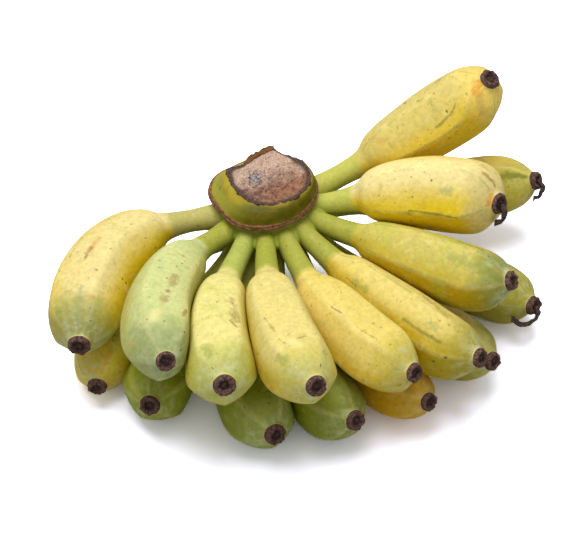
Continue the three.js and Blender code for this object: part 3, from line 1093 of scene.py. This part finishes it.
# Marks of each finger: their kind, half width in millimetres, and the place or the two places between
# which they are drawn, as degrees from the top, on the left as one looks from the root to the tip, and
# share along the skin map
MARKS = {
    "finger_upper_1": [
        ("speck", 0.7, (10, 0.40)), ("line", 0.8, (-35, 0.40), (-40, 0.45)),
        ("speck", 0.9, (75, 0.35)), ("tan", 3.6, (-10, 0.55), (-10, 0.60)),
        ("scuff", 1.6, (-10, 0.60), (-10, 0.65)), ("line", 0.7, (-45, 0.55), (-40, 0.65)),
        ("scuff", 1.4, (15, 0.70)), ("tan", 3, (20, 0.85)), ("grey", 3, (0, 0.80), (0, 0.95)),
        ("speck", 1.1, (60, 0.65)), ("speck", 1.1, (70, 0.65)), ("green", 4, (-40, 0.90)),
    ],
    "finger_upper_2": [
        ("speck", 0.8, (25, 0.45)), ("scuff", 1.1, (10, 0.40), (20, 0.40)),
        ("speck", 0.9, (-15, 0.85)), ("freckles", 4, (25, 0.55), (20, 0.65)),
        ("scuff", 1.6, (20, 0.65)), ("freckles", 5, (15, 0.70)), ("scuff", 2, (50, 0.75), (45, 0.80)),
        # The cream mark on this finger is a painted highlight
        ("speck", 1, (55, 0.90)), ("speck", 0.9, (75, 0.95)), ("cream", 6, (0, 0.80), (-5, 0.85)),
        ("grey", 7, (-45, 0.85), (-35, 0.90)),
    ],
    "finger_upper_3": [
        ("line", 0.9, (-40, 0.65), (-50, 0.70)), ("line", 0.8, (-50, 0.55), (-45, 0.60)),
        ("freckles", 3.5, (25, 0.50), (30, 0.65)), ("scuff", 1, (20, 0.65), (30, 0.70)),
        ("green", 5, (-25, 0.85), (-20, 0.90)), ("speck", 0.9, (-30, 0.95)), ("haze", 3, (0, 0.95)),
        ("speck", 1, (-80, 0.75)), ("speck", 1, (-85, 0.85)),
    ],
    "finger_upper_4": [
        ("line", 1.1, (-30, 0.60), (-25, 0.70)), ("line", 1.1, (-25, 0.75), (-20, 0.80)),
        ("line", 1.3, (-15, 0.75), (-5, 0.75)), ("line", 1.3, (5, 0.80), (15, 0.80)),
        ("cream", 4, (-10, 0.80), (0, 0.85)), ("green", 5, (-40, 0.85), (-35, 0.90)),
        ("grey", 3.5, (45, 0.90)), ("gold", 4, (-90, 0.70), (-95, 0.75)), ("rust", 2, (-100, 0.85)),
        ("speck", 0.8, (35, 0.95)), ("speck", 0.9, (-75, 0.70)), ("scuff", 1, (-105, 0.95)),
    ],
    "finger_upper_5": [
        ("scuff", 1, (-20, 0.50), (-15, 0.55)), ("line", 0.8, (-15, 0.65), (-10, 0.80)),
        ("grey", 3, (-50, 0.95)), ("speck", 1, (-115, 0.95)), ("gold", 4, (-85, 0.70), (-85, 0.75)),
    ],
    "finger_upper_6": [
        ("scuff", 1.2, (-40, 0.35), (-40, 0.40)), ("green", 4, (-35, 0.40), (-35, 0.45)),
        ("freckles", 4, (30, 0.65), (15, 0.80)), ("green", 4, (-15, 0.75), (-15, 0.80)),
        ("vein", 1.8, (-35, 0.65), (-35, 0.85)), ("speck", 1.3, (-60, 0.90)),
        ("speck", 1.3, (-75, 0.85)),
    ],
    "finger_upper_7": [
        ("scuff", 2.2, (30, 0.70), (25, 0.85)), ("green", 6, (-15, 0.70), (-25, 0.90)),
        ("grey", 3, (15, 0.85), (5, 0.95)), ("speck", 0.9, (10, 0.90)), ("tan", 2.4, (-15, 0.95)),
        ("grey", 4, (-60, 0.85), (-50, 0.90)),
    ],
    "finger_upper_8": [
        ("rust", 3, (-65, 0.97), (-15, 0.97)), ("scuff", 2.6, (10, 0.90), (20, 0.95)),
        ("line", 1.2, (40, 0.80), (35, 0.85)), ("haze", 3, (30, 0.85), (30, 0.90)),
        ("speck", 0.9, (-25, 0.60)), ("grey", 4.5, (-40, 0.65), (-40, 0.70)),
        ("vein", 1, (-75, 0.50), (-80, 0.80)), ("green", 3, (-80, 0.35)), ("green", 3, (-80, 0.50)),
    ],
    "finger_upper_9": [
        ("rust", 3, (-90, 0.95), (-60, 0.95)), ("rust", 2.4, (-75, 0.97), (-35, 0.97)),
        ("haze", 5, (-110, 0.90), (-90, 0.95)), ("speck", 1.4, (30, 0.55)),
        ("line", 1, (30, 0.80), (25, 0.85)), ("haze", 5, (-15, 0.35)), ("cream", 4, (5, 0.40)),
        ("line", 1.2, (-10, 0.45), (-15, 0.45)), ("speck", 1.2, (40, 0.55)), ("scuff", 1.4, (5, 0.60)),
        ("speck", 1.6, (-40, 0.70)), ("green", 4, (-15, 0.65)), ("green", 4, (20, 0.75)),
        ("vein", 1.4, (-50, 0.60), (-45, 0.80)),
    ],
    "finger_lower_1": [
        ("gold", 4, (20, 0.90), (20, 0.95)), ("grey", 4, (-50, 0.85), (-60, 0.95)),
        ("green", 6, (20, 0.80)),
    ],
    # Its paler facet is painted light on the side the lamp lights
    "finger_lower_2": [("painted_lit_side", 6, (-55, 0.80), (-60, 0.95))],
    "finger_lower_5": [("haze", 3, (-30, 0.90))],
    "finger_lower_7": [("green", 6, (-30, 0.85), (-20, 0.95))],
    "finger_lower_8": [("leaf", 6, (-40, 0.70), (-25, 0.95)), ("cream", 1.4, (-5, 0.80), (-5, 0.95))],
}


def add_marks(sheet, name, skin):
    """The skin's colour with the finger's own marks on it."""
    colour = skin["Color"]
    clear = sheet.minus(1, skin["Button"])
    for kind, half_width, *places in MARKS.get(name, []):
        tint, strength, softness, ragged = MARK_KINDS[kind]
        ends = [(across * DEGREE_MM, along * SKIN_LENGTH_MM, 0) for across, along in places]
        mark = sheet.use(MARK_GROUP, start=ends[0], end=ends[-1], half_width=half_width,
                         softness=softness, ragged=ragged, torn=skin["Torn"])
        colour = sheet.blend(sheet.times(sheet.times(mark["Mask"], clear), strength), colour, tint)
    return colour


def make_peel(name, seed):
    """The peel of one finger."""
    material, sheet = new_material(name + "_peel")
    skin = sheet.use(SKIN_GROUP, **(PLAIN | PEELS[name]), seed=seed)
    colour = add_marks(sheet, name, skin)
    shade(sheet, colour, skin["Roughness"], skin["Height"], 0.5 * MM, specular_ior_level=0.14, **GLOW)
    return material


def make_crown_skin():
    """The crown's green flesh: golden under the rim, dark olive above the scar, bright lime below it."""
    material, sheet = new_material("crown_skin")
    place = sheet.place()
    height = sheet.minus(sheet.vector("DOT_PRODUCT", place, tuple(SCAR_NORMAL)), SCAR_HEIGHT)
    patchy = sheet.cloud(place, *PATCHY, 5.0)
    broad = sheet.cloud(place, 40, 3, 0.5, 3.0)
    fine = sheet.cloud(place, *FINE, 23.0)
    torn = sheet.cloud(place, *TORN, 51.0)
    below = sheet.coat(STALK, FRESH, patchy, 0.4, 0.7)

    # Painted light: above the scar, the left side, towards the lamp, is painted lighter and its gilt
    # reaches lower
    left = sheet.vector("DOT_PRODUCT", sheet.vector("SUBTRACT", place, tuple(RIM_MIDDLE)), (-1, 0.35, 0))
    painted_lit_side = sheet.step(sheet.frayed(left, patchy, 12 * MM), 2 * MM, 26 * MM)
    above = sheet.coat((90, 88, 2), (120, 104, 8), torn, 0.4, 0.65, 0.6)
    above = sheet.blend(painted_lit_side, above, (158, 154, 48))
    above = sheet.coat(above, (92, 84, 28), sheet.mixed(torn, patchy), 0.54, 0.64, 0.6)
    gilt = sheet.plus(sheet.frayed(height, broad, 2.5 * MM), sheet.times(painted_lit_side, 3 * MM))
    above = sheet.coat(above, (176, 150, 34), gilt, 9.4 * MM, 11.4 * MM, 0.6)

    colour = sheet.coat(below, above, height, -1 * MM, 1 * MM)
    colour = sheet.coat(colour, SCUFF, sheet.mixed(torn, patchy, 0.6), 0.58, 0.66, 0.35)
    rough = sheet.spread_out(fine, 0.45, 0.55)
    shade(sheet, colour, rough, sheet.plus(fine, patchy), 0.4 * MM, specular_ior_level=0.2, **GLOW)
    return material


def make_cut_skin():
    """The crown's dried cut: cream grains at its back, reddish brown at its front, and a dark crust."""
    material, sheet = new_material("crown_cut")
    place = sheet.place()
    spot = sheet.vector("SUBTRACT", place, tuple(RIM_MIDDLE))
    broad = sheet.cloud(place, 110, 3, 0.5, 3.0)
    grain = sheet.cloud(place, 900, 5, 0.75, 9.0)
    clumps = sheet.cloud(place, 330, 4, 0.7, 14.0)
    mixed = sheet.mixed(grain, clumps, 0.6)

    cream = sheet.coat((128, 94, 82), (222, 192, 168), mixed, 0.38, 0.56)
    cream = sheet.coat(cream, (160, 118, 100), clumps, 0.48, 0.64, 0.55)
    # The palest cream, on the highest grains, is partly a painted highlight
    cream = sheet.coat(cream, (240, 222, 204), mixed, 0.56, 0.66, 0.6)
    brown = sheet.coat((82, 56, 54), (164, 122, 98), mixed, 0.38, 0.62)
    brown = sheet.coat(brown, (196, 156, 128), clumps, 0.54, 0.66, 0.3)
    brown = sheet.coat(brown, (88, 60, 62), clumps, 0.48, 0.36, 0.6)
    rusty = sheet.coat((120, 72, 50), (186, 132, 92), mixed, 0.4, 0.6)
    right = sheet.frayed(sheet.vector("DOT_PRODUCT", spot, (0.8, -0.4, 0)), broad, 20 * MM)
    brown = sheet.coat(brown, rusty, right, -2 * MM, 12 * MM, 0.5)
    back = sheet.frayed(sheet.vector("DOT_PRODUCT", spot, (-0.35, 0.94, 0)), broad, 36 * MM)
    colour = sheet.coat(brown, cream, back, -9 * MM, 11 * MM)
    edge = sheet.frayed(sheet.stored("rim"), clumps, 1.2)
    colour = sheet.coat(colour, (96, 62, 64), edge, 0.1, 0.7, 0.6)

    mould_colour = sheet.coat((70, 74, 84), (176, 180, 186), grain, 0.45, 0.6)
    mould = sheet.vector("LENGTH", sheet.vector("SUBTRACT", spot, tuple(MOULD)))
    colour = sheet.coat(colour, mould_colour, sheet.frayed(mould, broad, 10 * MM), 8 * MM, 1 * MM, 0.8)

    crust = sheet.coat((50, 36, 30), (112, 92, 80), grain, 0.35, 0.65)
    colour = sheet.coat(colour, crust, sheet.frayed(sheet.stored("rim"), grain, 0.5), 0.35, 0.6)
    flap = sheet.frayed(sheet.stored("flap"), clumps, 0.5)
    colour = sheet.coat(colour, (140, 92, 40), flap, 0.15, 0.3)
    colour = sheet.coat(colour, (62, 42, 36), flap, 0.7, 0.9)
    shade(sheet, colour, sheet.spread_out(grain, 0.7, 0.9), mixed, 1.4 * MM, specular_ior_level=0.2)
    return material


def make_scar_skin():
    """The corky scar: reddish brown fibres with dark furrows."""
    material, sheet = new_material("crown_scar")
    place = sheet.place()
    grain = sheet.cloud(place, 380, 5, 0.7, 2.0)
    colour = sheet.coat((96, 62, 40), (154, 110, 78), grain, 0.35, 0.65)
    shade(sheet, colour, sheet.spread_out(grain, 0.65, 0.85), grain, 0.8 * MM, specular_ior_level=0.2)
    return material


def make_dried_skin():
    """Dried petals: nearly black, with browner fibres."""
    material, sheet = new_material("dried_flower")
    place = sheet.place()
    grain = sheet.cloud(place, 500, 5, 0.7, 4.0)
    colour = sheet.coat((40, 28, 26), (104, 78, 64), grain, 0.4, 0.7)
    shade(sheet, colour, sheet.spread_out(grain, 0.6, 0.85), grain, 0.8 * MM)
    return material


# ---- floor, light and camera ----


FLOOR_WIDTH = 12
# The floor as the camera sees it, from one end of its faint speckle to the other, and as it lights the
# fingers. The first two are brighter than paint, so that the floor is seen as white.
FLOOR_SEEN = [(1.95, 1.95, 2.25, 1), (2.0, 2.0, 2.3, 1)]
FLOOR_LIT = (210, 210, 210)


def make_floor():
    """A pale floor, much wider than the hand."""
    bpy.ops.mesh.primitive_plane_add(size=FLOOR_WIDTH)
    floor = bpy.context.object
    floor.name = "floor"
    material, sheet = new_material("pale_floor")
    speckle = sheet.cloud(sheet.place(), 40, 2)
    seen = sheet.node("ShaderNodeLightPath").outputs["Is Camera Ray"]
    colour = sheet.blend(seen, FLOOR_LIT, sheet.blend(speckle, *FLOOR_SEEN))
    matt = sheet.node("ShaderNodeBsdfDiffuse")
    sheet.feed(matt.inputs["Color"], colour)
    surface = sheet.node("ShaderNodeOutputMaterial")
    sheet.feed(surface.inputs["Surface"], matt.outputs[0])
    floor.data.materials.append(material)


def add_light():
    """Soft studio light: a pale surround, and a broad lamp high above."""
    world = bpy.data.worlds.new("studio")
    bpy.context.scene.world = world
    world.use_nodes = True
    background = world.node_tree.nodes["Background"]
    background.inputs["Color"].default_value = (1, 1, 1, 1)
    background.inputs["Strength"].default_value = SURROUND
    bpy.ops.object.light_add(type="AREA", location=LAMP["place"])
    lamp = bpy.context.object
    lamp.name = "key"
    lamp.data.shape = "DISK"
    lamp.data.size = LAMP["width"]
    lamp.data.energy = LAMP["power"]
    lamp.rotation_euler = (VIEW["aim"] - LAMP["place"]).to_track_quat("-Z", "Y").to_euler()
    bpy.context.scene.view_settings.view_transform = "Standard"


def add_camera():
    pitch = math.radians(VIEW["pitch"])
    back = Vector((0, -math.cos(pitch), math.sin(pitch)))
    data = bpy.data.cameras.new("camera")
    data.sensor_width = VIEW["sensor"]
    data.lens = VIEW["lens"]
    camera = bpy.data.objects.new("camera", data)
    bpy.context.scene.collection.objects.link(camera)
    camera.location = VIEW["aim"] + back * VIEW["distance"]
    camera.rotation_mode = "QUATERNION"
    camera.rotation_quaternion = (-back).to_track_quat("-Z", "Y")
    bpy.context.scene.camera = camera


# ---- the hand ----

add_camera()
add_light()
make_floor()

LUMPS = clouds("finger_lumps", 38 * MM, 1)
FLESH_LUMPS = clouds("flesh_lumps", 12 * MM, 1)
FIBRES = clouds("scar_fibres", 2.4 * MM, 3)
PLACE_GROUP = make_place_group()
MARK_GROUP = make_mark_group()
SPECK_GROUP = make_speck_group()
SKIN_GROUP = make_skin_group()

# The plane of the crown's scar, and the rim of its cut face
crown_ring_places = crown_rings()
scar_ring = crown_ring_places[SCAR_RING]
rim_ring = crown_ring_places[RIM_RING]
quarter = len(scar_ring) // 4
across_ring, along_ring = scar_ring[quarter] - scar_ring[0], scar_ring[2 * quarter] - scar_ring[0]
SCAR_NORMAL = across_ring.cross(along_ring).normalized()
SCAR_HEIGHT = SCAR_NORMAL.dot(sum(scar_ring, Vector()) / len(scar_ring))
RIM_MIDDLE = sum(rim_ring, Vector()) / len(rim_ring)
RIM_HEIGHT = SCAR_NORMAL.dot(RIM_MIDDLE) - SCAR_HEIGHT
RIM_AZIMUTHS = [crown_place(corner)[1] for corner in rim_ring]
RIM_REACHES = [crown_place(corner)[2] for corner in rim_ring]
MOULD = Vector((-9, 2.5, 0)) * MM   # the mould's middle, from the rim's


def place_piece(piece, material, slot, *nodes):
    """Gives a finished piece its material, sets it under the root body and hides the nodes it stands
    for.
    """
    piece.data.materials.clear()
    piece.data.materials.append(material)
    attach(piece, "root")
    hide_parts(*nodes)


slots = {part["node"]: part["material_slot"] for part in frame["record"]["subparts"]}
lines = []
for seed, name in enumerate(FINGERS):
    finger, line = shape_finger(name)
    smooth_finger(finger, line)
    lines.append(line)
    place_piece(finger, make_peel(name, float(seed)), slots[name], name)

place_piece(make_flesh(lines), make_crown_skin(), slots["crown"], "crown")
place_piece(make_scar(scar_ring), make_scar_skin(), slots["crown"], "crown")
place_piece(make_cut_face(), make_cut_skin(), slots["crown"], "crown")

dried_skin = make_dried_skin()
for name in sorted(frame["nodes"]):
    if name.startswith("dried_flower_"):
        place_piece(make_dried_flower(name), dried_skin, slots[name], name)
